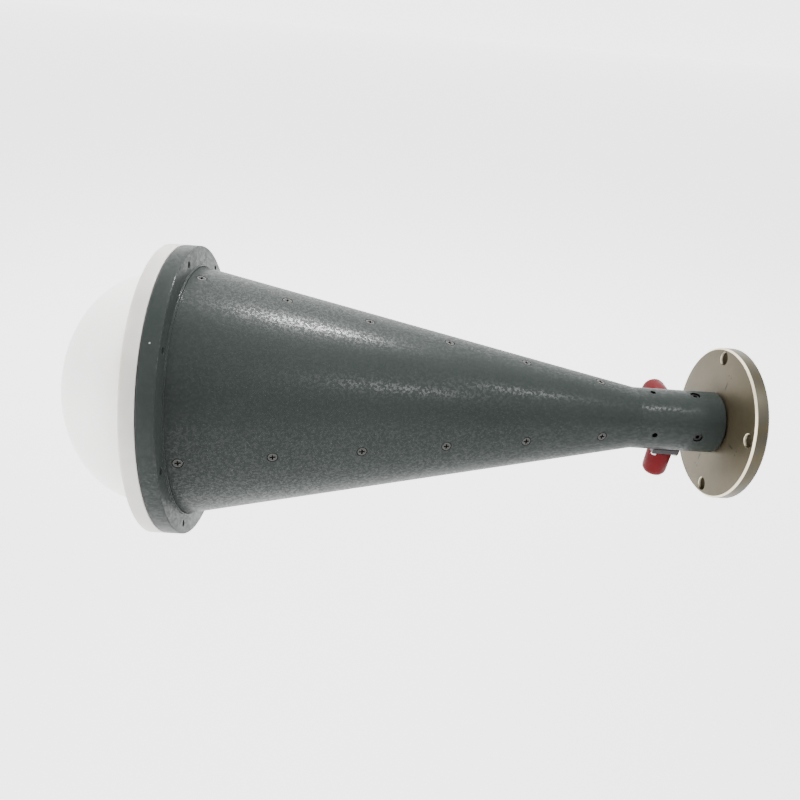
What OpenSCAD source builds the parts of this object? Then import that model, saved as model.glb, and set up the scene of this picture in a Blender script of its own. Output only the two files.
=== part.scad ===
// Dual-polarised conical horn antenna with four ridges and a dome lens.
// The horn lies along X: the lens looks towards -X and the mounting flange closes the +X end.
// The origin is the centre of the mounting flange's back face. +Z is up.

/* [Lens] */
// Outer diameter of the lens rim and of the front flange
front_d = 190; // [176:1:205]
// Width of the flat rim around the dome
rim_w = 19.3; // [17:0.1:24]
// Thickness of the lens rim
rim_t = 9.2; // [8:0.1:14]
// Straight wall between the rim and the rounded dome
dome_straight = 6.2; // [3:0.1:10]
// Height of the rounded dome
dome_h = 56; // [40:1:70]
// How far the lens is let into the front flange
lens_spigot = 2.5; // [1:0.1:3.2]
// Rounding of the rim's front edge
rim_round = 0.8; // [0.3:0.1:1.5]

/* [Front flange] */
// Thickness of the front flange
front_flange_t = 10; // [9.5:0.5:16]
// Width of the front flange outside the horn
front_flange_w = 13; // [12:0.1:15]
// Depth of the horn's seat in the front flange
horn_seat = 6; // [3:0.5:6]
// Height of the collar behind the front flange
collar_h = 1; // [0.5:0.1:2]
// Wall of the collar
collar_wall = 0.9; // [0.6:0.1:1.5]
// Thickness of the gasket under the lens
gasket_t = 0.8; // [0.4:0.1:1.5]
// Set-back of the gasket from the outer edge
gasket_inset = 0.7; // [0.3:0.1:1.2]
// Number of lens screws
lens_screw_n = 8; // [4:1:12]
// Distance of the lens screws from the outer edge
lens_screw_edge = 6.6; // [5.5:0.1:7]
// Thread diameter of the lens screws
lens_screw_d = 4; // [3:0.5:4.5]
// Length of the lens screws under the head
lens_screw_len = 15; // [12:0.5:16]

/* [Horn] */
// Length of the conical part behind the front flange
cone_len = 295; // [260:1:330]
// Outer diameter of the straight neck
neck_d = 42; // [40:0.5:46]
// Length of the straight neck
neck_len = 57; // [54:0.5:70]
// Wall of the cone at its wide end
cone_wall = 3.5; // [3:0.1:5]
// Wall of the neck
neck_wall = 4; // [3.6:0.1:4.6]

/* [Ridges] */
// Thickness of each ridge
ridge_t = 8; // [7:0.5:10]
// Gap between the tips of opposite ridges in the neck
throat_gap = 4; // [3:0.2:5]
// Side gap between neighbouring ridge tips
ridge_side_gap = 1.7; // [1.2:0.1:2.4]
// Height of each ridge at its front end
ridge_nose = 6; // [4:0.5:12]
// How fast the ridges open towards the front
ridge_flare = 3; // [1.5:0.1:4]
// Distance of the ridges' front ends behind the front flange
ridge_set = 2; // [0:0.5:3]
// Number of screws along each ridge
ridge_screw_n = 6; // [3:1:8]
// First ridge screw's distance behind the front flange
ridge_screw_first = 7; // [6.5:0.1:15]
// Last ridge screw's distance before the neck
ridge_screw_last = 27; // [15:0.1:40]
// Thread diameter of the ridge screws
ridge_screw_d = 3; // [2.5:0.1:3.5]
// Head diameter of the ridge screws
ridge_head_d = 5.6; // [5:0.1:6.2]
// Length of the ridge screws with their heads
ridge_screw_len = 8; // [7:0.1:9]

/* [Feed end] */
// Distance of the set screws behind the neck's front end
set_screw_x = 10.4; // [6:0.1:14]
// Diameter of the set screws
set_screw_d = 3.4; // [2.5:0.1:4]
// Length of the set screws
set_screw_len = 6; // [4:0.1:8]
// Depth of the set screws below the neck's surface
set_screw_sink = 3; // [1:0.1:3.4]
// Distance of the plug screws above plain sides from the neck's back end
plug_screw_x = 17.2; // [14:0.1:17.5]
// Distance of the plug screws on the port sides from the neck's back end
plug_screw_port_x = 9; // [7:0.1:11]
// Thread diameter of the plug screws
plug_screw_d = 3; // [2.5:0.1:3.5]
// Head diameter of the plug screws
plug_head_d = 5.5; // [5:0.1:6]
// Head height of the plug screws
plug_head_h = 2; // [1.6:0.1:2.6]
// Metal left under the plug screws' heads
plug_head_floor = 0.8; // [0.6:0.1:1]
// Length of the plug screws under the head
plug_screw_len = 8; // [5:0.1:8]
// Length of the feed plug inside the neck
plug_len = 22; // [21.5:0.1:23]
// Thickness of the plug's collar behind the neck
plug_collar_t = 1.5; // [1:0.1:3]
// Diameter of the plug's collar behind the neck
plug_collar_d = 37; // [35:0.5:39]

/* [Mounting flange] */
// Diameter of the mounting flange
mount_d = 104; // [102:1:115]
// Thickness of the mounting flange
mount_t = 9; // [8:0.1:12]
// Chamfer of the mounting flange's edges
mount_chamfer = 1.2; // [0.5:0.1:2]
// Number of mounting holes
mount_hole_n = 4; // [3:1:8]
// Diameter of the mounting holes
mount_hole_d = 9; // [7:0.1:10]
// Distance of the mounting holes' centres from the flange's edge
mount_hole_edge = 7; // [6.5:0.1:10]
// Turn of the mounting holes past the ridges, towards the back
mount_turn = 18.8; // [10:0.1:35]
// Diameter of the locating pilot between plug and flange
pilot_d = 14; // [10:0.5:15]
// Depth of the locating pilot
pilot_h = 3; // [2:0.1:4]
// Number of flange screws
flange_screw_n = 4; // [3:1:6]
// Diameter of the circle of flange screws
flange_screw_pcd = 24; // [23:0.1:25]
// Thread diameter of the flange screws
flange_screw_d = 4; // [3:0.1:4]
// Length of the flange screws with their heads
flange_screw_len = 18; // [14:0.1:20]

/* [Ports] */
// Distance of the bottom port's axis from the neck's back end
port_x = 28.5; // [28.2:0.1:30]
// Step between the two port axes along the horn
port_step = 2.2; // [2:0.1:3]
// Depth of the flats that carry the ports
port_flat = 1.5; // [1.2:0.1:1.8]
// Width of the ports' square flanges
port_plate_w = 19; // [18.8:0.1:19.4]
// Thickness of the ports' square flanges
port_plate_t = 3.5; // [3:0.1:4]
// Corner radius of the ports' square flanges
port_plate_r = 1.2; // [0.5:0.1:1.6]
// Distance of each port screw from the port's two middle planes
port_screw_xy = 7.4; // [7.3:0.05:7.5]
// Thread diameter of the port screws
port_screw_d = 2; // [1.6:0.1:2.2]
// Head diameter of the port screws
port_head_d = 3.8; // [3:0.1:3.9]
// Length of the port screws under the head
port_screw_len = 6; // [5:0.1:6.5]
// Outer diameter of the threaded socket
socket_d = 15.8; // [14:0.1:15.9]
// Height of the threaded socket above its flange
socket_h = 18.5; // [15:0.1:19]
// Bore of the threaded socket
socket_bore = 8.2; // [7:0.1:9]
// Depth of the plain floor of the socket above its flange's face
socket_floor = 2; // [1:0.1:3]
// Height of the insulator inside the socket
insulator_h = 8; // [6:0.1:9]
// Diameter of the coaxial hole through neck and ridge
coax_d = 4.2; // [3.6:0.1:4.6]
// Diameter of the probe wire
probe_d = 1.3; // [1:0.05:1.5]
// Diameter of the socket's centre contact
contact_d = 3; // [2.4:0.1:3.2]
// Length of the socket's centre contact
contact_h = 6; // [4:0.1:6.5]
// How far the probe is let into the far ridge
probe_seat = 3; // [2:0.1:5]

/* [Dust caps] */
// Gap between the dust caps' mouths and the ports' flanges
cap_lift = 0.3; // [0.1:0.1:1]
// How much further out the back dust cap stands
cap_back_out = 1.4; // [0:0.1:2]
// Wall of the dust caps
cap_wall = 0.5; // [0.4:0.05:0.6]
// Thickness of the dust caps' ends
cap_end = 1; // [0.6:0.1:2]
// Room between the socket's mouth and the cap's end
cap_room = 2.6; // [1:0.1:4]
// Rounding of the dust caps' ends
cap_round = 5; // [2:0.1:6]

/* [Clearances] */
// Clearance of pieces that seat in one another
fit = 0.1; // [0.05:0.01:0.15]
// Clearance of a screw in its thread
thread_fit = 0.05; // [0.02:0.01:0.1]
// Clearance of a screw in a plain hole, across the diameter
hole_fit = 0.4; // [0.3:0.05:0.5]
// Depth of screw heads below the face they sit in
head_sink = 0.15; // [0.05:0.01:0.3]
// Free ring round the sunk heads on the cone and in the neck
head_ring = 0.45; // [0.3:0.05:0.5]

/* [Hidden] */
$fn = 96;

// Overrun of cuts through a face, and of drilled holes past the screws in them
over = 1;
drill_over = 1;
// Places along the axis, from the back face forwards
x_mount_front = -mount_t;
x_neck_back = x_mount_front - plug_collar_t;
x_neck_front = x_neck_back - neck_len;
x_cone_front = x_neck_front - cone_len;
x_flange_front = x_cone_front - front_flange_t;
x_rim_back = x_flange_front - gasket_t;
x_rim_front = x_rim_back - rim_t;
x_dome = x_rim_front - dome_straight;
x_plug_front = x_neck_back - plug_len;
// Radii of the turned parts
front_r = front_d / 2;
dome_r = front_r - rim_w;
horn_r = front_r - front_flange_w;
bore_r = horn_r - cone_wall;
neck_r = neck_d / 2;
neck_bore_r = neck_r - neck_wall;
// Slope of the horn's outside and of its inside
cone_fall = (horn_r - neck_r) / cone_len;
cone_angle = atan(cone_fall);
// Turns about X of things that point straight up when unturned
TOP = 0;
FRONT = 90;
BOTTOM = 180;
BACK = 270;
SIDES = [TOP, FRONT, BOTTOM, BACK];
// Circle of the mounting holes
mount_circle_r = mount_d / 2 - mount_hole_edge;
// Lens screws, with their pan heads as shares of the thread
lens_circle_r = front_r - lens_screw_edge;
pan_head_w = 1.9;
pan_head_h = 0.65;
lens_head_r = lens_screw_d * pan_head_w / 2;
lens_head_h = lens_screw_d * pan_head_h;
// Countersunk heads are cones of 90 degrees above a thin straight edge
head_edge = 0.25;
ridge_screw_pitch = (cone_len - ridge_screw_first - ridge_screw_last) / (ridge_screw_n - 1);
ridge_end_gap = 1;
ridge_steps = 22;
// Flange screws, halfway between the ridges
flange_head_d = flange_screw_d * 2;
flange_screw_turn = 45;
// Bevels of the front flange's edges and of the neck's end
flange_edge = 0.6;
neck_edge = 0.4;
// Cross recess of the countersunk screws, as shares of the head
cross_w = 0.17;
cross_l = 0.62;
cross_h = 0.22;
// Socket of hexagon socket screws, as shares of the thread
hex_w = 0.84;
hex_h = 0.6;
set_hex_share = 0.6;
// Outer end of the set screws
set_screw_r = neck_r - set_screw_sink;
// Seat of the plug screws' heads
plug_head_seat_r = neck_bore_r + plug_head_floor;
// Ports
port_seat_r = neck_r - port_flat;
port_face_r = port_seat_r + port_plate_t;
socket_end_r = port_face_r + socket_h;
floor_r = port_face_r + socket_floor;
insulator_end_r = floor_r + insulator_h;
port_bottom_x = x_neck_back - port_x;
port_back_x = port_bottom_x + port_step;
tip_r = throat_gap / 2;
port_head_share = 0.34;
port_head_h = port_head_d * port_head_share;
contact_slot = 0.4;
corner_fn = 32;
thread_depth = 0.45;
thread_pitch = 1.06;
thread_relief = 1.4;
cap_inner_r = socket_d / 2 + fit / 2;
cap_outer_r = cap_inner_r + cap_wall;
cap_mouth_r = port_face_r + cap_lift;
cap_ceiling_r = socket_end_r + cap_room;

// Outer radius of the cone at a distance s behind the front flange
function horn_out(s) = horn_r - cone_fall * s;
// Distance of a ridge's edge from the axis, at a share q of the way to the neck
function ridge_edge(q) =
    tip_r + (bore_r - ridge_nose - tip_r) * (exp(ridge_flare * (1 - q)) - 1) / (exp(ridge_flare) - 1);

// Turned shape along X from an outline of [radius, x] points
module turned(points) rotate([0, 90, 0]) rotate_extrude() polygon(points);
// Cylinder along X
module rod_x(r, x, len) translate([x, 0, 0]) rotate([0, 90, 0]) cylinder(r = r, h = len);
// Turns children that point up by a turn about X
module facing(turn) rotate([turn, 0, 0]) children();
// Puts children, modelled about Z, on a port's axis
module at_port(x, turn) facing(turn) translate([x, 0, 0]) children();
// Places children along the ridges, standing square on the cone
module on_cone() {
    for (turn = SIDES, i = [0 : ridge_screw_n - 1])
        facing(turn) on_cone_at(ridge_screw_first + i * ridge_screw_pitch) children();
}
module on_cone_at(s) translate([x_cone_front + s, 0, horn_out(s)]) rotate([0, cone_angle, 0]) children();
// Places children on the neck, in line with all four ridges
module on_neck(x) for (turn = SIDES) at_port(x, turn) children();
// Places children at the plug screws, which stand further back beside the ports
module at_plug_screws() {
    for (turn = [TOP, FRONT]) at_port(x_neck_back - plug_screw_x, turn) children();
    for (turn = [BOTTOM, BACK]) at_port(x_neck_back - plug_screw_port_x, turn) children();
}
// Places children on a circle around X
module around(n, r, first) for (i = [0 : n - 1]) facing(first + i * 360 / n) translate([0, 0, r]) children();

// Countersunk screw hanging from z = 0 downwards, without its recess
module csk_blank(head_d, d, len) {
    translate([0, 0, -head_edge]) cylinder(d = head_d, h = head_edge);
    translate([0, 0, -head_edge - (head_d - d) / 2]) cylinder(d1 = d, d2 = head_d, h = (head_d - d) / 2);
    translate([0, 0, -len]) cylinder(d = d, h = len - head_edge);
}
module cross_recess(head_d) {
    for (turn = [0, 90]) rotate([0, 0, turn])
        translate([-head_d * cross_l / 2, -head_d * cross_w / 2, -head_d * cross_h])
            cube([head_d * cross_l, head_d * cross_w, head_d * cross_h + over]);
}
module csk_screw(head_d, d, len) {
    difference() {
        csk_blank(head_d, d, len);
        cross_recess(head_d);
    }
}
// Hole for a countersunk screw, open above z = 0, with a free ring round the head
module csk_hole(head_d, d, len, ring) {
    translate([0, 0, -head_edge]) cylinder(d = head_d + 2 * ring, h = head_edge + over);
    translate([0, 0, -head_edge - (head_d - d) / 2])
        cylinder(d1 = d + hole_fit, d2 = head_d + hole_fit, h = (head_d - d) / 2);
    translate([0, 0, -len]) cylinder(d = d + hole_fit, h = len - head_edge);
}
// Hexagon socket from z = 0 downwards
module hex_recess(d) {
    translate([0, 0, -d * hex_h]) cylinder(d = d * hex_w / cos(30), h = d * hex_h + over, $fn = 6);
}

// Lens: flat rim, straight wall, rounded dome and a spigot at the back
module lens() {
    steps = 28;
    dome = [for (i = [0 : steps]) [dome_r * cos(90 * i / steps), x_dome - dome_h * sin(90 * i / steps)]];
    color("ivory") difference() {
        turned(concat(
            [[0, x_rim_back + lens_spigot + gasket_t], [bore_r - fit, x_rim_back + lens_spigot + gasket_t],
             [bore_r - fit, x_rim_back], [front_r, x_rim_back],
             [front_r, x_rim_front + rim_round], [front_r - rim_round, x_rim_front], [dome_r, x_rim_front]],
            dome));
        around(lens_screw_n, lens_circle_r, TOP) lens_screw_hole();
    }
}
module lens_screw_hole() {
    rod_x(lens_head_r + hole_fit / 2, x_rim_front - over, over + lens_head_h + head_sink);
    rod_x(lens_screw_d / 2 + hole_fit / 2, x_rim_front, rim_t + over);
}
// Gasket: flat ring with the screws passing through it
module lens_gasket() {
    color("black") difference() {
        turned([[bore_r + fit, x_rim_back], [front_r - gasket_inset, x_rim_back],
                [front_r - gasket_inset, x_flange_front], [bore_r + fit, x_flange_front]]);
        around(lens_screw_n, lens_circle_r, TOP)
            rod_x(lens_screw_d / 2 + hole_fit / 2, x_rim_back - over, gasket_t + 2 * over);
    }
}
// Lens screws: pan heads sunk in the rim, cross recesses facing forwards
module lens_screws() {
    x_head = x_rim_front + head_sink;
    color("silver") around(lens_screw_n, lens_circle_r, TOP) difference() {
        union() {
            rod_x(lens_head_r, x_head, lens_head_h);
            rod_x(lens_screw_d / 2, x_head, lens_head_h + lens_screw_len);
        }
        translate([x_head, 0, 0]) rotate([0, -90, 0]) cross_recess(2 * lens_head_r);
    }
}
// Front flange: ring with a seat for the horn, a thin collar and tapped holes
module front_flange() {
    seat_r = horn_r + fit;
    color("dimgray") difference() {
        turned([[bore_r, x_flange_front], [front_r - flange_edge, x_flange_front],
                [front_r, x_flange_front + flange_edge],
                [front_r, x_cone_front - flange_edge], [front_r - flange_edge, x_cone_front],
                [seat_r + collar_wall, x_cone_front], [seat_r + collar_wall, x_cone_front + collar_h],
                [seat_r, x_cone_front + collar_h],
                [seat_r, x_cone_front - horn_seat], [bore_r, x_cone_front - horn_seat]]);
        around(lens_screw_n, lens_circle_r, TOP)
            rod_x(lens_screw_d / 2 + thread_fit, x_flange_front - over, front_flange_t + 2 * over);
    }
}
// Horn: seat, cone and neck turned in one piece, drilled for all that it carries
module horn_body() {
    color("darkslategray") difference() {
        turned([[bore_r, x_cone_front - horn_seat], [horn_r, x_cone_front - horn_seat],
                [horn_r, x_cone_front], [neck_r, x_neck_front], [neck_r, x_neck_back - neck_edge], [neck_r - neck_edge, x_neck_back],
                [neck_bore_r, x_neck_back], [neck_bore_r, x_neck_front], [bore_r, x_cone_front]]);
        on_cone() translate([0, 0, -head_sink])
            csk_hole(ridge_head_d, ridge_screw_d, ridge_screw_len, head_ring);
        on_neck(x_neck_front + set_screw_x) cylinder(d = set_screw_d + 2 * thread_fit, h = neck_r + over);
        at_plug_screws() {
            cylinder(d = plug_screw_d + hole_fit, h = neck_r);
            translate([0, 0, plug_head_seat_r]) cylinder(d = plug_head_d + 2 * head_ring, h = neck_r);
        }
        at_port(port_bottom_x, BOTTOM) port_seat();
        at_port(port_back_x, BACK) port_seat();
    }
}
// Flat, coaxial hole and tapped holes for one port
module port_seat() {
    flat_w = port_plate_w + fit;
    translate([-flat_w / 2, -neck_r, port_seat_r]) cube([flat_w, neck_d, neck_r]);
    cylinder(d = coax_d, h = neck_r + over);
    at_port_screws() translate([0, 0, neck_bore_r / 2])
        cylinder(d = port_screw_d + 2 * thread_fit, h = neck_r);
}
module at_port_screws() {
    for (sx = [-1, 1], sy = [-1, 1]) translate([sx * port_screw_xy, sy * port_screw_xy, 0]) children();
}

// Space inside the horn that the ridges fill, set back by the seating clearance
module horn_inside() {
    turned([[0, x_cone_front], [bore_r - fit, x_cone_front], [neck_bore_r - fit, x_neck_front],
            [neck_bore_r - fit, x_neck_back], [0, x_neck_back]]);
}
// One ridge above the axis: a flared blade with a wedge-shaped tip, drilled for its screws
module ridge() {
    x_front = x_cone_front + ridge_set;
    x_end = x_plug_front - ridge_end_gap;
    side = ridge_side_gap / sqrt(2);
    edge = [for (i = [0 : ridge_steps])
        [x_front + (x_neck_front - x_front) * i / ridge_steps, ridge_edge(i / ridge_steps)]];
    color("goldenrod") difference() {
        intersection() {
            translate([0, ridge_t / 2, 0]) rotate([90, 0, 0]) linear_extrude(ridge_t)
                polygon(concat(
                    edge, [[x_end, tip_r], [x_end, neck_r], [x_neck_front, neck_r], [x_front, horn_r]]));
            horn_inside();
            translate([x_cone_front, 0, 0]) rotate([90, 0, 90]) linear_extrude(cone_len + neck_len)
                polygon([[0, side], [ridge_t, ridge_t + side], [ridge_t, horn_r], [-ridge_t, horn_r],
                         [-ridge_t, ridge_t + side]]);
        }
        for (i = [0 : ridge_screw_n - 1])
            on_cone_at(ridge_screw_first + i * ridge_screw_pitch)
                translate([0, 0, -head_sink - ridge_screw_len - drill_over])
                    cylinder(d = ridge_screw_d + 2 * thread_fit, h = ridge_screw_len);
        translate([x_neck_front + set_screw_x, 0, set_screw_r - set_screw_len - drill_over])
            cylinder(d = set_screw_d + 2 * thread_fit, h = neck_r);
    }
}
module coax_hole(x) translate([x, 0, 0]) cylinder(d = coax_d, h = neck_r);
module probe_hole(x) {
    translate([x, 0, 0]) cylinder(d = probe_d + 2 * thread_fit, h = tip_r + probe_seat + fit);
}
module ridge_top() facing(TOP) ridge_probed(port_bottom_x);
module ridge_front() facing(FRONT) ridge_probed(port_back_x);
module ridge_bottom() facing(BOTTOM) ridge_fed(port_bottom_x);
module ridge_back() facing(BACK) ridge_fed(port_back_x);
module ridge_probed(x) difference() {
    ridge();
    probe_hole(x);
}
module ridge_fed(x) difference() {
    ridge();
    coax_hole(x);
}
// Ridge screws: four rows of countersunk screws, square to the cone
module ridge_screws() {
    color("gray") on_cone() translate([0, 0, -head_sink])
        csk_screw(ridge_head_d, ridge_screw_d, ridge_screw_len);
}
// Set screws that steady the ridges' back ends
module ridge_set_screws() {
    color("gray") on_neck(x_neck_front + set_screw_x) translate([0, 0, set_screw_r]) difference() {
        translate([0, 0, -set_screw_len]) cylinder(d = set_screw_d, h = set_screw_len);
        hex_recess(set_screw_d * set_hex_share);
    }
}

// Feed plug: closes the neck behind the ridges and carries the mounting flange
module feed_plug() {
    plug_r = neck_bore_r - fit / 2;
    color("dimgray") difference() {
        turned([[0, x_plug_front], [plug_r, x_plug_front], [plug_r, x_neck_back],
                [plug_collar_d / 2, x_neck_back], [plug_collar_d / 2, x_mount_front],
                [pilot_d / 2, x_mount_front], [pilot_d / 2, x_mount_front + pilot_h],
                [0, x_mount_front + pilot_h]]);
        at_plug_screws() translate([0, 0, plug_head_seat_r - plug_screw_len - drill_over])
            cylinder(d = plug_screw_d + 2 * thread_fit, h = neck_r);
        around(flange_screw_n, flange_screw_pcd / 2, flange_screw_turn)
            rod_x(flange_screw_d / 2 + thread_fit, -flange_screw_len - drill_over, flange_screw_len);
    }
}
// Plug screws: socket heads sunk in the neck's larger holes
module plug_screws() {
    color("gray") at_plug_screws() difference() {
        union() {
            translate([0, 0, plug_head_seat_r]) cylinder(d = plug_head_d, h = plug_head_h);
            translate([0, 0, plug_head_seat_r - plug_screw_len])
                cylinder(d = plug_screw_d, h = plug_screw_len + plug_head_h);
        }
        translate([0, 0, plug_head_seat_r + plug_head_h]) hex_recess(plug_screw_d);
    }
}
// Mounting flange: chamfered disc with a pilot bore, mounting holes and flange screw holes
module mounting_flange() {
    color("tan") difference() {
        turned([[0, x_mount_front], [mount_d / 2 - mount_chamfer, x_mount_front],
                [mount_d / 2, x_mount_front + mount_chamfer], [mount_d / 2, -mount_chamfer],
                [mount_d / 2 - mount_chamfer, 0], [0, 0]]);
        rod_x(pilot_d / 2 + fit / 2, x_mount_front - over, over + pilot_h + fit);
        around(mount_hole_n, mount_circle_r, -mount_turn)
            rod_x(mount_hole_d / 2, x_mount_front - over, mount_t + 2 * over);
        at_flange_screws() csk_hole(flange_head_d, flange_screw_d, flange_screw_len, hole_fit / 2);
    }
}
module flange_screws() {
    color("silver") at_flange_screws() csk_screw(flange_head_d, flange_screw_d, flange_screw_len - head_sink);
}
// Places children, modelled pointing down from z = 0, at the flange screws' sunk heads
module at_flange_screws() {
    around(flange_screw_n, flange_screw_pcd / 2, flange_screw_turn)
        rotate([0, 90, 0]) translate([0, 0, -head_sink]) children();
}

// Port body about Z: square flange and threaded socket, bored for the insulator
module port_body() {
    w = port_plate_w - 2 * port_plate_r;
    socket_r = socket_d / 2;
    turns = floor((socket_h - 2 * thread_relief) / thread_pitch);
    z_thread = port_face_r + thread_relief;
    thread = [for (i = [0 : turns - 1], k = [0, 1])
        [socket_r - thread_depth * (1 - k), z_thread + (i + k / 2) * thread_pitch]];
    z_top = z_thread + turns * thread_pitch;
    color("silver") difference() {
        union() {
            translate([0, 0, port_seat_r]) linear_extrude(port_plate_t) union() {
                square([w, port_plate_w], center = true);
                square([port_plate_w, w], center = true);
                for (sx = [-1, 1], sy = [-1, 1])
                    translate([sx * w / 2, sy * w / 2]) circle(r = port_plate_r, $fn = corner_fn);
            }
            rotate_extrude() polygon(concat(
                [[0, port_face_r - over], [socket_r - thread_depth, port_face_r - over]],
                thread,
                [[socket_r - thread_depth, z_top], [socket_r - thread_depth, socket_end_r],
                 [0, socket_end_r]]));
        }
        translate([0, 0, floor_r]) cylinder(d = socket_bore, h = socket_h);
        cylinder(d = coax_d, h = socket_end_r);
        at_port_screws() cylinder(d = port_screw_d + hole_fit, h = port_face_r + over);
    }
}
// Insulator about Z: a sleeve through neck and ridge under a wider plug in the socket
module port_insulator() {
    color("white") difference() {
        union() {
            translate([0, 0, floor_r]) cylinder(d = socket_bore - fit, h = insulator_h);
            translate([0, 0, tip_r + fit]) cylinder(d = coax_d - fit, h = floor_r - tip_r);
        }
        cylinder(d = probe_d + fit, h = insulator_end_r + over);
    }
}
// Centre contact and probe about Z: the wire crosses the throat into the far ridge
module port_pin() {
    z_foot = -tip_r - probe_seat;
    color("gold") difference() {
        union() {
            translate([0, 0, z_foot]) cylinder(d = probe_d, h = insulator_end_r - z_foot + over);
            translate([0, 0, insulator_end_r + fit]) cylinder(d = contact_d, h = contact_h);
        }
        translate([0, 0, insulator_end_r + contact_h / 3]) cylinder(d = contact_d / 2, h = contact_h);
        for (turn = [0, 90]) rotate([0, 0, turn])
            translate([-contact_d, -contact_slot / 2, insulator_end_r + contact_h / 2])
                cube([2 * contact_d, contact_slot, contact_h]);
    }
}
module port_screw() {
    z_head = port_face_r;
    difference() {
        union() {
            translate([0, 0, z_head]) cylinder(d = port_head_d, h = port_head_h);
            translate([0, 0, z_head - port_screw_len])
                cylinder(d = port_screw_d, h = port_screw_len + port_head_h);
        }
        translate([0, 0, z_head + port_head_h]) cross_recess(port_head_d);
    }
}
// Dust cap about Z: thin push-on cup with a rounded end
module dust_cap() {
    steps = 12;
    z_end = cap_ceiling_r + cap_end;
    inner_round = cap_round - cap_wall;
    outer = [for (i = [0 : steps]) [cap_outer_r - cap_round + cap_round * cos(90 * i / steps),
                                    z_end - cap_round + cap_round * sin(90 * i / steps)]];
    inner = [for (i = [steps : -1 : 0]) [cap_inner_r - inner_round + inner_round * cos(90 * i / steps),
                                         cap_ceiling_r - inner_round + inner_round * sin(90 * i / steps)]];
    color("firebrick") rotate_extrude() polygon(concat(
        [[cap_inner_r, cap_mouth_r], [cap_outer_r, cap_mouth_r]], outer,
        [[0, z_end], [0, cap_ceiling_r]], inner));
}

module port_body_bottom() at_port(port_bottom_x, BOTTOM) port_body();
module port_body_back() at_port(port_back_x, BACK) port_body();
module port_insulator_bottom() at_port(port_bottom_x, BOTTOM) port_insulator();
module port_insulator_back() at_port(port_back_x, BACK) port_insulator();
module port_pin_bottom() at_port(port_bottom_x, BOTTOM) port_pin();
module port_pin_back() at_port(port_back_x, BACK) port_pin();
module port_screws() {
    color("silver") {
        at_port(port_bottom_x, BOTTOM) at_port_screws() port_screw();
        at_port(port_back_x, BACK) at_port_screws() port_screw();
    }
}
module dust_cap_bottom() at_port(port_bottom_x, BOTTOM) dust_cap();
module dust_cap_back() at_port(port_back_x, BACK) translate([0, 0, cap_back_out]) dust_cap();

lens();
lens_gasket();
lens_screws();
front_flange();
horn_body();
ridge_top();
ridge_front();
ridge_bottom();
ridge_back();
ridge_screws();
ridge_set_screws();
feed_plug();
plug_screws();
mounting_flange();
flange_screws();
port_body_bottom();
port_body_back();
port_insulator_bottom();
port_insulator_back();
port_pin_bottom();
port_pin_back();
port_screws();
dust_cap_bottom();
dust_cap_back();
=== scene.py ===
"""Looks of the horn antenna: turned metal, milky lens, paint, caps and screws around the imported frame."""

import math

import bmesh
import bpy
from mathutils import Matrix, Vector


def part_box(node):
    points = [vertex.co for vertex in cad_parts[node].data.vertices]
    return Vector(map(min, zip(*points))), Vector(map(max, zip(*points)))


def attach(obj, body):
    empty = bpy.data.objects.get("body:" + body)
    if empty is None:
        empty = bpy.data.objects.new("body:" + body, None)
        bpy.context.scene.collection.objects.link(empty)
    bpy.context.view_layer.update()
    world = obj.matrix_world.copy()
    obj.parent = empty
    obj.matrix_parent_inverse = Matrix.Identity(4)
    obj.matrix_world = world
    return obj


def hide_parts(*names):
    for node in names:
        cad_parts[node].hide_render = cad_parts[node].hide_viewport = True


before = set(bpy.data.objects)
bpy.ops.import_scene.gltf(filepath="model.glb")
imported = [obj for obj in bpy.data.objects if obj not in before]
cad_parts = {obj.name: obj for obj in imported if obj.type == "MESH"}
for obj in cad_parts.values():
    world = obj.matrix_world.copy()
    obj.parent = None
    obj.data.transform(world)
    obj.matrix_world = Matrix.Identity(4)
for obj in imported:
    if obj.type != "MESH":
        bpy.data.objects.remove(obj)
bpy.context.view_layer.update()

MM = 0.001
SEGMENTS = 256  # faces round a large turned piece
ARC_STEPS = 4  # faces across a rounded edge
TOP, FRONT, BOTTOM, BACK = 0, 90, 180, 270  # turns about X of what points straight up when unturned


def span(node):
    """Where a CAD node starts and ends along the horn."""
    low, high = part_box(node)
    return low.x, high.x


def radius(node):
    """Outer radius of a CAD node that is turned about the horn's axis."""
    low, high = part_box(node)
    return round(max(high.y, high.z), 3)


# Places along the horn, and the radii of what is turned about it
LENS_X, LENS_END_X = span("lens")
GASKET_X, GASKET_END_X = span("lens_gasket")
HORN_X, NECK_END_X = span("horn_body")
MOUNT_X, MOUNT_END_X = span("mounting_flange")
FRONT_FLANGE_X, COLLAR_END_X = span("front_flange")
FRONT_R = radius("lens")
MOUNT_R = radius("mounting_flange")
MOUNT_CHAMFER = 1.2 * MM
MOUNT_TURN = 18.8  # degrees from the ridges to the mounting holes
MOUNT_CIRCLE_R = MOUNT_R - 7 * MM
HORN_SEAT = 6 * MM
HORN_WIDE_X = HORN_X + HORN_SEAT
HORN_R = FRONT_R - 13 * MM
BORE_R = HORN_R - 3.5 * MM
NECK_R = 21 * MM
NECK_BORE_R = 17 * MM
NECK_X = NECK_END_X - 57 * MM
CONE_FALL = (HORN_R - NECK_R) / (NECK_X - HORN_WIDE_X)
CONE_ANGLE = math.atan(CONE_FALL)
DOME_R = FRONT_R - 19.3 * MM
RIM_X = GASKET_X - 9.2 * MM
DOME_X = RIM_X - 6.2 * MM
NICK = FRONT_R * Vector((0, -0.69, 0.72))  # a chip in the paint of the front flange
LENS_SCREWS = 8
LENS_SCREW_R = FRONT_R - 6.6 * MM


# ---------------------------------------------------------------- shapes


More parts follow.
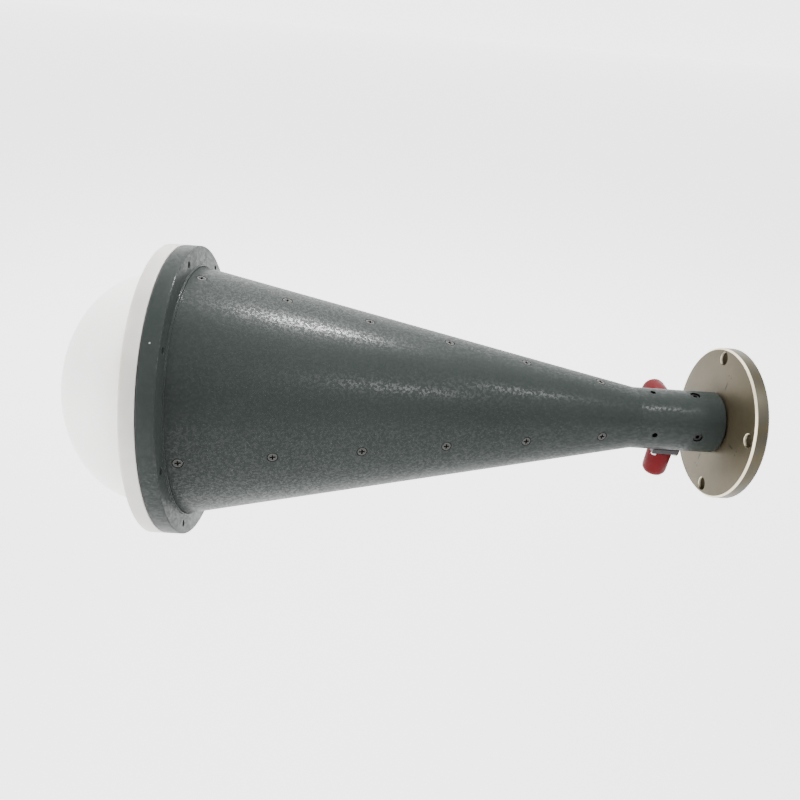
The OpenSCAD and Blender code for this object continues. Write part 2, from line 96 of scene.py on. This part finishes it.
def rounded(corners):
    """Corners of (x, r, rounding) as a list of points, with an arc at each rounded corner."""
    points = []
    for i, (x, r, size) in enumerate(corners):
        corner = Vector((x, r))
        if not size:
            points.append(corner)
            continue
        before = (Vector(corners[i - 1][:2]) - corner).normalized()
        after = (Vector(corners[(i + 1) % len(corners)][:2]) - corner).normalized()
        half = before.angle(after) / 2
        centre = corner + (before + after).normalized() * size / math.sin(half)
        start = corner + before * size / math.tan(half) - centre
        end = corner + after * size / math.tan(half) - centre
        points += [centre + start.slerp(end, k / ARC_STEPS).normalized() * start.length for k in range(ARC_STEPS + 1)]
    return points


def spun(points, closed, segments):
    """A mesh turned about X from points of (x, r)."""
    bm = bmesh.new()
    verts = [bm.verts.new((p[0], 0, p[1])) for p in points]
    edges = [bm.edges.new(pair) for pair in zip(verts, verts[1:])]
    if closed:
        edges.append(bm.edges.new((verts[-1], verts[0])))
    bmesh.ops.spin(
        bm, geom=verts + edges, cent=(0, 0, 0), axis=(1, 0, 0), angle=math.tau, steps=segments, use_merge=True
    )
    bmesh.ops.remove_doubles(bm, verts=bm.verts, dist=1e-7)
    bmesh.ops.recalc_face_normals(bm, faces=bm.faces)
    mesh = bpy.data.meshes.new("turned")
    bm.to_mesh(mesh)
    bm.free()
    return mesh


def add_object(name, mesh):
    piece = bpy.data.objects.new(name, mesh)
    bpy.context.scene.collection.objects.link(piece)
    return piece


def facing(turn):
    return Matrix.Rotation(math.radians(turn), 4, "X")


def upright():
    """Turns a shape modelled about X so that its +X end points up."""
    return Matrix.Rotation(math.radians(-90), 4, "Y")


def on_cone(turn, distance):
    """A place on the cone's surface, at a distance behind its wide end, standing square on it."""
    place = Vector((HORN_WIDE_X + distance, 0, HORN_R - CONE_FALL * distance))
    return facing(turn) @ Matrix.Translation(place) @ Matrix.Rotation(CONE_ANGLE, 4, "Y") @ upright()


def on_neck(turn, x):
    return facing(turn) @ Matrix.Translation((x, 0, NECK_R)) @ upright()


def drilled(piece, tools):
    """Cuts tools, pairs of a mesh and a place, out of a piece."""
    bm = bmesh.new()
    for tool, place in tools:
        copy = tool.copy()
        copy.transform(place)
        bm.from_mesh(copy)
        bpy.data.meshes.remove(copy)
    bmesh.ops.recalc_face_normals(bm, faces=bm.faces)
    cutter_mesh = bpy.data.meshes.new("cutter")
    bm.to_mesh(cutter_mesh)
    bm.free()
    cutter = add_object("cutter", cutter_mesh)
    cut = piece.modifiers.new("holes", "BOOLEAN")
    cut.object = cutter
    cut.solver = "EXACT"
    bpy.context.view_layer.update()
    finished = bpy.data.meshes.new_from_object(piece.evaluated_get(bpy.context.evaluated_depsgraph_get()))
    piece.modifiers.clear()
    piece.data = finished
    bpy.data.objects.remove(cutter)
    return piece


def outline_normals(points, closed):
    """Normals at both ends of each stretch of an outline, averaged where it bends softly."""
    count = len(points) if closed else len(points) - 1
    flat = []
    for i in range(count):
        along = (points[(i + 1) % len(points)] - points[i]).normalized()
        flat.append(Vector((-along.y, along.x)))
    soft = math.radians(32)
    pairs = []
    for i in range(count):
        ends = []
        for j in (i - 1, i + 1):
            near = flat[j % count] if closed or 0 <= j < count else flat[i]
            ends.append((flat[i] + near).normalized() if flat[i].angle(near) < soft else flat[i])
        pairs.append(ends)
    return pairs


def true_normals(piece, points, closed):
    """Shades a drilled turned piece with the normals of the outline that it was turned from."""
    mesh = piece.data
    mesh.polygons.foreach_set("use_smooth", [True] * len(mesh.polygons))
    mesh.set_sharp_from_angle(angle=math.radians(35))
    normals = [Vector(n.vector) for n in mesh.corner_normals]
    pairs = outline_normals(points, closed)
    reach = 0.03 * MM
    stretches = []
    for i, ends in enumerate(pairs):
        a, b = points[i], points[(i + 1) % len(points)]
        stretches.append((a, b - a, (b - a).length_squared, ends))
    for face in mesh.polygons:
        places = [mesh.vertices[v].co for v in face.vertices]
        flat = [Vector((p.x, math.hypot(p.y, p.z))) for p in places]
        for start, along, size, ends in stretches:
            if size < 1e-16:
                continue
            shares = [min(max((p - start).dot(along) / size, 0), 1) for p in flat]
            if any((start + along * t - p).length > reach for t, p in zip(shares, flat)):
                continue
            centre = face.center
            out = math.hypot(centre.y, centre.z) or 1
            middle = ends[0] + ends[1]
            true = Vector((middle.x, middle.y * centre.y / out, middle.y * centre.z / out)).normalized()
            side = true.dot(face.normal)
            if abs(side) < 0.85:
                continue
            for k, (place, share) in enumerate(zip(places, shares)):
                n = ends[0].lerp(ends[1], share) * math.copysign(1, side)
                r = math.hypot(place.y, place.z)
                spoke = Vector((place.y, place.z)) / r if r > reach else Vector((0, 0))
                normals[face.loop_start + k] = Vector((n.x, n.y * spoke.x, n.y * spoke.y)).normalized()
            break
    mesh.normals_split_custom_set(normals)
    return piece


def dress(piece, finish, slot, *nodes):
    """Gives a piece its material and its body, and hides the CAD nodes that it stands for. The slot is not used."""
    piece.data.materials.clear()
    piece.data.materials.append(finish)
    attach(piece, "root")
    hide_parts(*nodes)


def round_tool(profile, segments=32):
    """A round cutter about X, from a profile of (x, r) that starts and ends on the axis."""
    return spun(profile, False, segments)


def plain_drill(r, depth, over, flare=0.0):
    """A drill that goes in from x = 0, with a small bevel at its mouth."""
    return round_tool([(-depth, 0), (-depth, r), (-flare, r), (0, r + flare), (over, r + flare), (over, 0)])


# ---------------------------------------------------------------- shader maths


class Socket:
    """A shader value. Arithmetic on it adds Math nodes."""

    def __init__(self, finish, output):
        self.finish = finish
        self.output = output

    def math(self, operation, *others):
        values = dict(enumerate([self, *others]))
        return self.finish.node("ShaderNodeMath", {"operation": operation}, values)

    def __add__(self, other):
        return self.math("ADD", other)

    def __mul__(self, other):
        return self.math("MULTIPLY", other)

    def __sub__(self, other):
        return self.math("SUBTRACT", other)

    def __truediv__(self, other):
        return self.math("DIVIDE", other)

    def __rsub__(self, other):
        return (self * -1) + other

    def __pow__(self, other):
        return self.math("POWER", other)

    __radd__ = __add__
    __rmul__ = __mul__

    def above(self, edge, blur):
        """Rises smoothly from 0 to 1 as the value passes an edge."""
        return self.finish.node(
            "ShaderNodeMapRange",
            {"interpolation_type": "SMOOTHSTEP"},
            {"Value": self, "From Min": edge - blur, "From Max": edge + blur},
        )

    def near(self, middle, width):
        """1 at a value, falling to 0 at a width on both sides."""
        return 1 - (self - middle).math("ABSOLUTE").above(width * 0.6, width * 0.4)


class Finish:
    """A material under construction, on Object coordinates."""

    def __init__(self, name, **constants):
        self.material = bpy.data.materials.new(name)
        self.material.use_nodes = True
        self.tree = self.material.node_tree
        self.surface = self.tree.nodes["Principled BSDF"]
        for key, value in constants.items():
            self.surface.inputs[key.replace("_", " ").title().replace("Ior", "IOR")].default_value = value
        self.place = self.node("ShaderNodeTexCoord", {}, {}, "Object")

    def node(self, kind, settings, values, output=0):
        """Any node: its settings first, then the values or links of its sockets."""
        made = self.tree.nodes.new(kind)
        for key, value in settings.items():
            setattr(made, key, value)
        for key, value in values.items():
            if isinstance(value, Socket):
                self.tree.links.new(value.output, made.inputs[key])
            else:
                made.inputs[key].default_value = value
        return Socket(self, made.outputs[output])

    def feed(self, name, value):
        self.tree.links.new(value.output, self.surface.inputs[name])

    def axes(self):
        parts = self.node("ShaderNodeSeparateXYZ", {}, {0: self.place}).output.node.outputs
        return [Socket(self, part) for part in parts]

    def off_axis(self):
        """Distance from the horn's axis, and the place along it."""
        x, y, z = self.axes()
        return x, (y * y + z * z).math("SQRT")

    def noise(self, scale, detail=2.0, rough=0.5, place=None):
        values = {"Vector": place or self.place, "Scale": scale, "Detail": detail, "Roughness": rough}
        return self.node("ShaderNodeTexNoise", {}, values)

    def mix(self, share, low, high):
        values = {0: share, 6: low, 7: high}
        return self.node("ShaderNodeMix", {"data_type": "RGBA"}, values, 2)

    def bump(self, height, distance, strength=1.0):
        values = {"Height": height, "Distance": distance, "Strength": strength}
        self.feed("Normal", self.node("ShaderNodeBump", {}, values))


def rgb(r, g, b):
    return (r, g, b, 1.0)


# ---------------------------------------------------------------- finishes


def horn_paint():
    f = Finish("satin_grey_paint", roughness=0.45, specular_ior_level=0.04, coat_roughness=0.24)
    cloud = f.noise(9, 3)
    mottle = f.noise(160, 3)
    tone = cloud.above(0.5, 0.3) * 0.6 + mottle * 0.4
    colour = f.mix(tone, rgb(0.0180, 0.0225, 0.0208), rgb(0.0250, 0.0300, 0.0280))
    dust = f.noise(2600, 1).above(0.74, 0.03) * 0.2
    colour = f.mix(dust, colour, rgb(0.11, 0.12, 0.11))
    x, y, z = f.axes()
    worn = ((x - FRONT_FLANGE_X - 4.5 * MM) ** 2 + (z - NICK.z) ** 2 + (y - NICK.y) ** 2).math("SQRT")
    colour = f.mix(1 - worn.above(0.5 * MM, 0.2 * MM), colour, rgb(0.3, 0.3, 0.28))
    # Painted shade: the colour goes near black below the surface of the cone and neck, down to 3.2 mm, so the screw
    # countersinks, their grooves and the drilled holes read as shaded recesses.
    surface = (HORN_R - (x - HORN_WIDE_X) * CONE_FALL).math("MAXIMUM", NECK_R)
    depth = surface - (y * y + z * z).math("SQRT")
    painted_recess_shade = depth.above(0.16 * MM, 0.07 * MM) * (1 - depth.above(3.2 * MM, 0.1 * MM))
    f.feed("Base Color", f.mix(painted_recess_shade, colour, rgb(0.004, 0.004, 0.004)))
    grain = f.noise(600, 2)
    f.feed("Coat Weight", (grain.above(0.52, 0.06) * 0.2 + 0.03) * (1 - painted_recess_shade))
    f.feed("Roughness", f.noise(60, 2) * 0.1 + 0.4)
    f.bump(grain + f.noise(2300, 1) * 0.35, 0.03 * MM)
    return f.material


def milky_lens():
    f = Finish("milky_ptfe", roughness=0.4, subsurface_weight=0.55, subsurface_scale=0.006, specular_ior_level=0.4)
    f.surface.inputs["Subsurface Radius"].default_value = (1.0, 0.9, 0.8)
    x, r = f.off_axis()
    cloud = f.noise(22, 3).above(0.5, 0.35)
    colour = f.mix(cloud, rgb(0.86, 0.845, 0.815), rgb(0.92, 0.905, 0.88))
    rings = f.noise(1.0, 2, place=f.node("ShaderNodeCombineXYZ", {}, {0: x * 900, 1: r * 900}))
    colour = f.mix(rings * 0.12, colour, rgb(0.66, 0.65, 0.62))
    # Painted shade: the lens rim behind the dome is coloured darker, unevenly, for the shade it falls in as it faces
    # away from the light that lights the dome.
    rim_painted_shade = (x - RIM_X).above(0.2 * MM, 0.2 * MM)
    rim_shade_mottle = f.noise(38, 3).above(0.5, 0.2)
    f.feed("Base Color", f.mix(rim_painted_shade * (0.8 + rim_shade_mottle * 0.2), colour, rgb(0.46, 0.45, 0.415)))
    f.feed("Roughness", f.noise(45, 2) * 0.16 + 0.32)
    f.bump(rings + f.noise(1400, 2) * 0.4, 0.012 * MM)
    return f.material


def index_marks(f):
    """Plain strokes and dots stamped beside the neck, one group in line with each of three ridges."""
    x, y, z = f.axes()
    marks = None
    for side, up in ((0, 1), (-1, 0), (0, -1)):
        out = y * side + z * up
        across = y * up - z * side
        stroke = out.near(29 * MM, 4.2 * MM) * across.near(0, 1.1 * MM)
        dots = out.near(36.5 * MM, 0.9 * MM) * (across.near(-1.6 * MM, 0.9 * MM) + across.near(1.6 * MM, 0.9 * MM))
        marks = stroke + dots if marks is None else marks + stroke + dots
    front = 1 - (x - MOUNT_X).above(0.3 * MM, 0.1 * MM)
    ragged = f.noise(900, 2).above(0.36, 0.1)
    return marks * front * ragged


def plated_flange():
    f = Finish("champagne_plating", metallic=0.7, roughness=0.42, specular_ior_level=0.1)
    x, r = f.off_axis()
    stain = f.noise(28, 4, 0.6)
    grain = f.noise(1900, 2)
    colour = f.mix(stain.above(0.5, 0.25), rgb(0.062, 0.051, 0.030), rgb(0.084, 0.07, 0.044))
    colour = f.mix(grain.above(0.6, 0.2) * 0.35, colour, rgb(0.06, 0.053, 0.037))
    # Painted highlight: the chamfer round the front face is coloured bright cream, as it looks where it catches the
    # light.
    bevel = (r + x - (MOUNT_R + MOUNT_X - MOUNT_CHAMFER)).above(0, 0.12 * MM) * (1 - (r - MOUNT_R).above(-0.08 * MM, 0.06 * MM))
    bevel = bevel * (1 - (x - MOUNT_X).above(MOUNT_CHAMFER, 0.1 * MM))
    colour = f.mix(bevel * (0.75 + f.noise(700, 2) * 0.5), colour, rgb(0.62, 0.55, 0.4))
    # Painted sheen: the rim is darkened in soft patches, with lighter ones left between, as the light and dark sheen
    # of turned plating.
    rim = (r - MOUNT_R).above(-0.08 * MM, 0.06 * MM)
    rim_sheen_patches = f.noise(70, 2).above(0.56, 0.12)
    colour = f.mix(rim * (1 - rim_sheen_patches) * 0.75, colour, rgb(0.058, 0.055, 0.044))
    x, y, z = f.axes()
    # Painted highlight: a bright cream stripe on one side of each mounting hole's wall, just inside its mouth.
    for i in range(4):
        hole = facing(i * 90 - MOUNT_TURN) @ Vector((0, 0, MOUNT_CIRCLE_R))
        away = ((y - hole.y) ** 2 + (z - hole.z) ** 2).math("SQRT")
        wall = (1 - away.above(4.66 * MM, 0.1 * MM)) * (1 - (x - MOUNT_X).above(1.5 * MM, 0.6 * MM))
        colour = f.mix(wall * (y - hole.y).above(1.4 * MM, 1.2 * MM), colour, rgb(0.8, 0.72, 0.55))
    f.feed("Base Color", f.mix(index_marks(f), colour, rgb(0.02, 0.024, 0.02)))
    f.feed("Roughness", f.noise(40, 3) * 0.14 + 0.36)
    grooves = f.noise(1.0, 2, place=f.node("ShaderNodeCombineXYZ", {}, {0: x * 2600, 1: r * 2600}))
    f.bump(grooves + grain * 0.5, 0.006 * MM)
    return f.material


def dark_screw():
    f = Finish("blackened_screw", metallic=0.6, roughness=0.45, specular_ior_level=0.1)
    x, r = f.off_axis()
    # Painted shade: near black where the screw head lies more than 0.42 mm below the line of the cone's surface, so
    # the cross recesses read as shaded.
    depth = (x - HORN_WIDE_X) * -CONE_FALL + HORN_R - r
    painted_recess_shade = depth.above(0.42 * MM, 0.12 * MM)
    worn = f.noise(900, 3)
    colour = f.mix(worn, rgb(0.022, 0.024, 0.022), rgb(0.075, 0.075, 0.072))
    f.feed("Base Color", f.mix(painted_recess_shade, colour, rgb(0.008, 0.008, 0.008)))
    f.feed("Roughness", worn * 0.25 + 0.28)
    f.bump(f.noise(3200, 2), 0.004 * MM)
    return f.material


def steel(name, low, high, roughness):
    f = Finish(name, metallic=1.0, roughness=roughness)
    worn = f.noise(700, 3)
    f.feed("Base Color", f.mix(worn, low, high))
    f.feed("Roughness", worn * 0.2 + (roughness - 0.1))
    f.bump(f.noise(2800, 2), 0.003 * MM)
    return f.material


def black_rubber():
    f = Finish("black_rubber", roughness=0.7)
    f.feed("Base Color", f.mix(f.noise(700, 2), rgb(0.012, 0.012, 0.012), rgb(0.03, 0.03, 0.03)))
    f.bump(f.noise(1500, 2), 0.01 * MM)
    return f.material


def white_insulator():
    f = Finish("white_ptfe", roughness=0.4, subsurface_weight=0.3, subsurface_scale=0.002)
    f.feed("Base Color", f.mix(f.noise(300, 2), rgb(0.78, 0.78, 0.76), rgb(0.86, 0.86, 0.84)))
    f.bump(f.noise(1600, 2), 0.004 * MM)
    return f.material


def red_vinyl():
    f = Finish("red_vinyl", roughness=0.42, specular_ior_level=0.08)
    tone = f.noise(120, 3)
    f.feed("Base Color", f.mix(tone, rgb(0.072, 0.0025, 0.004), rgb(0.1, 0.0035, 0.006)))
    f.feed("Roughness", f.noise(90, 2) * 0.14 + 0.34)
    f.bump(f.noise(600, 2), 0.015 * MM)
    return f.material


# ---------------------------------------------------------------- pieces


def make_lens(finish):
    spigot_r = BORE_R - 0.1 * MM
    steps = 40
    quarter = [math.pi / 2 * i / steps for i in range(steps)]
    dome = [Vector((DOME_X - (DOME_X - LENS_X) * math.cos(a), DOME_R * math.sin(a))) for a in quarter]
    edge = rounded(
        [
            (DOME_X, DOME_R, 0),
            (RIM_X, DOME_R, 0.6 * MM),
            (RIM_X, FRONT_R, 0.9 * MM),
            (GASKET_X, FRONT_R, 0.4 * MM),
            (GASKET_X, spigot_r, 0),
            (LENS_END_X, spigot_r, 0.4 * MM),
            (LENS_END_X, 0, 0),
        ]
    )
    points = dome + edge
    lens = add_object("lens_body", spun(points, False, SEGMENTS))
    bore = plain_drill(2.2 * MM, 12 * MM, 1 * MM)
    head = plain_drill(4 * MM, 2.75 * MM, 1 * MM, 0.2 * MM)
    flip = Matrix.Rotation(math.pi, 4, "Z")
    tools = []
    for i in range(LENS_SCREWS):
        place = facing(i * 360 / LENS_SCREWS) @ Matrix.Translation((RIM_X, 0, LENS_SCREW_R)) @ flip
        tools += [(bore, place), (head, place)]
    drilled(lens, tools[1::2])
    drilled(lens, tools[0::2])
    true_normals(lens, points, False)
    dress(lens, finish, "lens_ptfe", "lens")


def make_front_flange(finish):
    seat_r = HORN_R + 0.1 * MM
    collar_r = seat_r + 0.9 * MM
    points = rounded(
        [
            (FRONT_FLANGE_X, BORE_R, 0),
            (FRONT_FLANGE_X, FRONT_R, 0.45 * MM),
            (HORN_WIDE_X, FRONT_R, 0.6 * MM),
            (HORN_WIDE_X, collar_r, 0.3 * MM),
            (COLLAR_END_X, collar_r, 0.3 * MM),
            (COLLAR_END_X, seat_r, 0.15 * MM),
            (HORN_X, seat_r, 0),
            (HORN_X, BORE_R, 0),
        ]
    )
    flange = add_object("front_flange_ring", spun(points, True, SEGMENTS))
    hole = plain_drill(2.05 * MM, 13 * MM, 1 * MM, 0.25 * MM)
    drilled(
        flange,
        [
            (hole, facing(i * 360 / LENS_SCREWS) @ Matrix.Translation((HORN_WIDE_X, 0, LENS_SCREW_R)))
            for i in range(LENS_SCREWS)
        ],
    )
    true_normals(flange, points, True)
    dress(flange, finish, "horn_paint", "front_flange")


def make_horn(finish):
    points = rounded(
        [
            (HORN_X, BORE_R, 0),
            (HORN_X, HORN_R, 0.3 * MM),
            (HORN_WIDE_X, HORN_R, 0),
            (NECK_X, NECK_R, 6 * MM),
            (NECK_END_X, NECK_R, 0.5 * MM),
            (NECK_END_X, NECK_BORE_R, 0),
            (NECK_X, NECK_BORE_R, 0),
            (HORN_WIDE_X, BORE_R, 0),
        ]
    )
    horn = add_object("horn_shell", spun(points, True, SEGMENTS))
    ring = 0.45 * MM
    head_r, shank_r, edge = 2.8 * MM, 1.7 * MM, 0.25 * MM
    sink = round_tool(
        [
            (-8 * MM, 0),
            (-8 * MM, shank_r),
            (-edge - 1.45 * MM, shank_r),
            (-edge, head_r + ring),
            (3 * MM, head_r + ring),
            (3 * MM, 0),
        ]
    )
    tools = []
    first, last, count = 7 * MM, 27 * MM, 6
    length = NECK_X - HORN_WIDE_X
    for turn in (TOP, FRONT, BOTTOM, BACK):
        for i in range(count):
            tools.append((sink, on_cone(turn, first + (length - first - last) * i / (count - 1))))
    small = plain_drill(1.75 * MM, 8 * MM, 2 * MM, 0.2 * MM)
    large = plain_drill(3.2 * MM, 3.2 * MM, 2 * MM, 0.25 * MM)
    for turn in (TOP, FRONT, BOTTOM, BACK):
        tools.append((small, on_neck(turn, NECK_X + 10.4 * MM)))
        back = 17.2 * MM if turn in (TOP, FRONT) else 9 * MM
        tools.append((large, on_neck(turn, NECK_END_X - back)))
    for node, turn in (("port_body_bottom", BOTTOM), ("port_body_back", BACK)):
        low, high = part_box(node)
        half = (high.x - low.x) / 2 + 0.05 * MM
        middle = (high.x + low.x) / 2
        bm = bmesh.new()
        bmesh.ops.create_cube(bm, size=1.0)
        flat = bpy.data.meshes.new("flat")
        bm.to_mesh(flat)
        bm.free()
        flat.transform(Matrix.Diagonal((2 * half, 40 * MM, 6 * MM, 1)))
        tools.append((flat, facing(turn) @ Matrix.Translation((middle, 0, NECK_R - 1.5 * MM + 3 * MM))))
        tools.append((plain_drill(2.1 * MM, 8 * MM, 0.5 * MM), on_neck(turn, middle) @ Matrix.Translation((-1 * MM, 0, 0))))
    coax = [t for t in tools[-3::2]]
    drilled(horn, [t for t in tools if t not in coax])
    drilled(horn, coax)
    true_normals(horn, points, True)
    dress(horn, finish, "horn_paint", "horn_body")


def make_mounting_flange(finish):
    chamfer = MOUNT_CHAMFER
    points = rounded(
        [
            (MOUNT_X, 0, 0),
            (MOUNT_X, MOUNT_R - chamfer, 0.15 * MM),
            (MOUNT_X + chamfer, MOUNT_R, 0.15 * MM),
            (MOUNT_END_X - chamfer, MOUNT_R, 0.15 * MM),
            (MOUNT_END_X, MOUNT_R - chamfer, 0.15 * MM),
            (MOUNT_END_X, 0, 0),
        ]
    )
    flange = add_object("mounting_disc", spun(points, False, SEGMENTS))
    through = round_tool(
        [
            (-1 * MM, 0),
            (-1 * MM, 5.3 * MM),
            (0, 4.85 * MM),
            (0.35 * MM, 4.5 * MM),
            (8.65 * MM, 4.5 * MM),
            (9 * MM, 4.85 * MM),
            (10 * MM, 5.3 * MM),
            (10 * MM, 0),
        ],
        48,
    )
    tools = []
    for i in range(4):
        tools.append((through, facing(i * 90 - MOUNT_TURN) @ Matrix.Translation((MOUNT_X, 0, MOUNT_CIRCLE_R))))
    sink = round_tool([(-12 * MM, 0), (-12 * MM, 2.2 * MM), (-2.4 * MM, 2.2 * MM), (-0.25 * MM, 4.2 * MM), (1 * MM, 4.2 * MM), (1 * MM, 0)])
    for i in range(4):
        tools.append((sink, facing(i * 90 + 45) @ Matrix.Translation((MOUNT_END_X, 0, 12 * MM))))
    pilot = round_tool([(-1 * MM, 0), (-1 * MM, 7.05 * MM), (3.1 * MM, 7.05 * MM), (3.1 * MM, 0)], 64)
    tools.append((pilot, Matrix.Translation((MOUNT_X, 0, 0))))
    drilled(flange, tools)
    true_normals(flange, points, False)
    dress(flange, finish, "plated_flange", "mounting_flange")


def make_dust_cap(name, node, finish):
    low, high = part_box(node)
    size = high - low
    along = max(range(3), key=lambda k: size[k])
    wide = min(size) / 2
    length = size[along]
    wall, end = 0.5 * MM, 1 * MM
    points = rounded(
        [
            (0, wide, 0.2 * MM),
            (length, wide - 0.25 * MM, 5 * MM),
            (length, 0, 0),
        ]
    )
    inner = rounded([(length - end, 0, 0), (length - end, wide - wall, 4.5 * MM), (0, wide - wall, 0.2 * MM)])
    points += inner
    cap = add_object(name, spun(points, True, 96))
    middle = (low + high) / 2
    if along == 2:
        place = Matrix.Translation((middle.x, 0, high.z)) @ Matrix.Rotation(math.radians(90), 4, "Y")
    else:
        place = Matrix.Translation((middle.x, low.y, 0)) @ Matrix.Rotation(math.radians(90), 4, "Z")
    true_normals(cap, points, True)
    cap.data.transform(place)
    dress(cap, finish, "cap_vinyl", node)


paint = horn_paint()
make_lens(milky_lens())
make_front_flange(paint)
make_horn(paint)
make_mounting_flange(plated_flange())
vinyl = red_vinyl()
make_dust_cap("cap_bottom", "dust_cap_bottom", vinyl)
make_dust_cap("cap_back", "dust_cap_back", vinyl)

screw_finish = dark_screw()
bright = steel("bright_steel", rgb(0.42, 0.42, 0.41), rgb(0.62, 0.62, 0.6), 0.32)
machined = steel("machined_alloy", rgb(0.62, 0.62, 0.6), rgb(0.74, 0.74, 0.72), 0.36)
nickel = steel("dull_nickel", rgb(0.03, 0.028, 0.03), rgb(0.05, 0.046, 0.048), 0.4)
gold = steel("gold_plating", rgb(0.75, 0.52, 0.2), rgb(0.85, 0.62, 0.27), 0.25)
black_metal = steel("black_alloy", rgb(0.012, 0.012, 0.012), rgb(0.03, 0.03, 0.03), 0.5)
FINISHES = {
    "lens_gasket": black_rubber(),
    "lens_screws": bright,
    "ridge_top": machined,
    "ridge_front": machined,
    "ridge_bottom": machined,
    "ridge_back": machined,
    "ridge_screws": screw_finish,
    "ridge_set_screws": screw_finish,
    "plug_screws": steel("oiled_steel", rgb(0.012, 0.012, 0.012), rgb(0.05, 0.05, 0.05), 0.4),
    "feed_plug": black_metal,
    "flange_screws": bright,
    "port_body_bottom": nickel,
    "port_body_back": nickel,
    "port_insulator_bottom": white_insulator(),
    "port_insulator_back": white_insulator(),
    "port_pin_bottom": gold,
    "port_pin_back": gold,
    "port_screws": bright,
}
for node, finish in FINISHES.items():
    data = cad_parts[node].data
    data.materials.clear()
    data.materials.append(finish)

# ---------------------------------------------------------------- stage

FLOOR_Z = -1.2
WALL_Y = 30


def backdrop_sheet(name, size, place):
    """A flat pale sheet of the studio, out of the horn's way."""
    bm = bmesh.new()
    bmesh.ops.create_grid(bm, x_segments=1, y_segments=1, size=size)
    mesh = bpy.data.meshes.new(name)
    bm.to_mesh(mesh)
    bm.free()
    mesh.transform(place)
    mesh.materials.append(pale.material)
    sheet = add_object(name, mesh)


pale = Finish("pale_paper", roughness=0.9)
pale.surface.inputs["Base Color"].default_value = rgb(0.93, 0.93, 0.93)
pale.surface.inputs["Emission Color"].default_value = rgb(1.0, 1.0, 1.0)
pale.surface.inputs["Emission Strength"].default_value = 1.6
backdrop_sheet("floor", 100, Matrix.Translation((0, 0, FLOOR_Z)))
backdrop_sheet("wall", 40, Matrix.Translation((0, WALL_Y, 0)) @ Matrix.Rotation(math.radians(90), 4, "X"))

world = bpy.data.worlds.new("studio")
world.use_nodes = True
world.node_tree.nodes["Background"].inputs["Color"].default_value = rgb(1.0, 1.0, 1.0)
world.node_tree.nodes["Background"].inputs["Strength"].default_value = 1.2
bpy.context.scene.world = world


def softbox(name, centre, aim, width, height, power):
    """A rectangular area light that faces a point, its width kept level along the horn."""
    data = bpy.data.lights.new(name, "AREA")
    data.shape = "RECTANGLE"
    data.size = width
    data.size_y = height
    data.energy = power
    light = bpy.data.objects.new(name, data)
    bpy.context.scene.collection.objects.link(light)
    back = (Vector(centre) - Vector(aim)).normalized()
    side = (Vector((1, 0, 0)) - back * back.x).normalized()
    turn = Matrix((side, back.cross(side), back)).transposed().to_4x4()
    light.matrix_world = Matrix.Translation(centre) @ turn


softbox("key", (-0.19, 0.5, 1.03), (-0.28, 0, 0.05), 0.24, 0.07, 30)
softbox("fill", (0.1, -0.66, 0.8), (-0.25, 0, 0), 0.26, 0.12, 4)
softbox("neck_light", (0.43, -0.32, 0.93), (-0.04, 0, 0), 0.16, 0.16, 4)
softbox("lens_light", (-1.5, -0.5, 0.1), (-0.42, 0, 0), 0.9, 0.9, 24)
softbox("backdrop", (-0.2, 2.2, 0.8), (-0.2, 4.0, FLOOR_Z), 5, 2, 110)

camera_data = bpy.data.cameras.new("camera")
camera_data.lens = 29.81
camera_data.shift_x = 0.00567
camera_data.shift_y = -0.00706
camera_data.clip_start = 0.02
camera = bpy.data.objects.new("camera", camera_data)
bpy.context.scene.collection.objects.link(camera)
camera.location = (-0.25069, -0.38297, 0.2393)
camera.rotation_euler = [math.radians(a) for a in (58.6129, -4.4206, -0.2486)]
bpy.context.scene.camera = camera
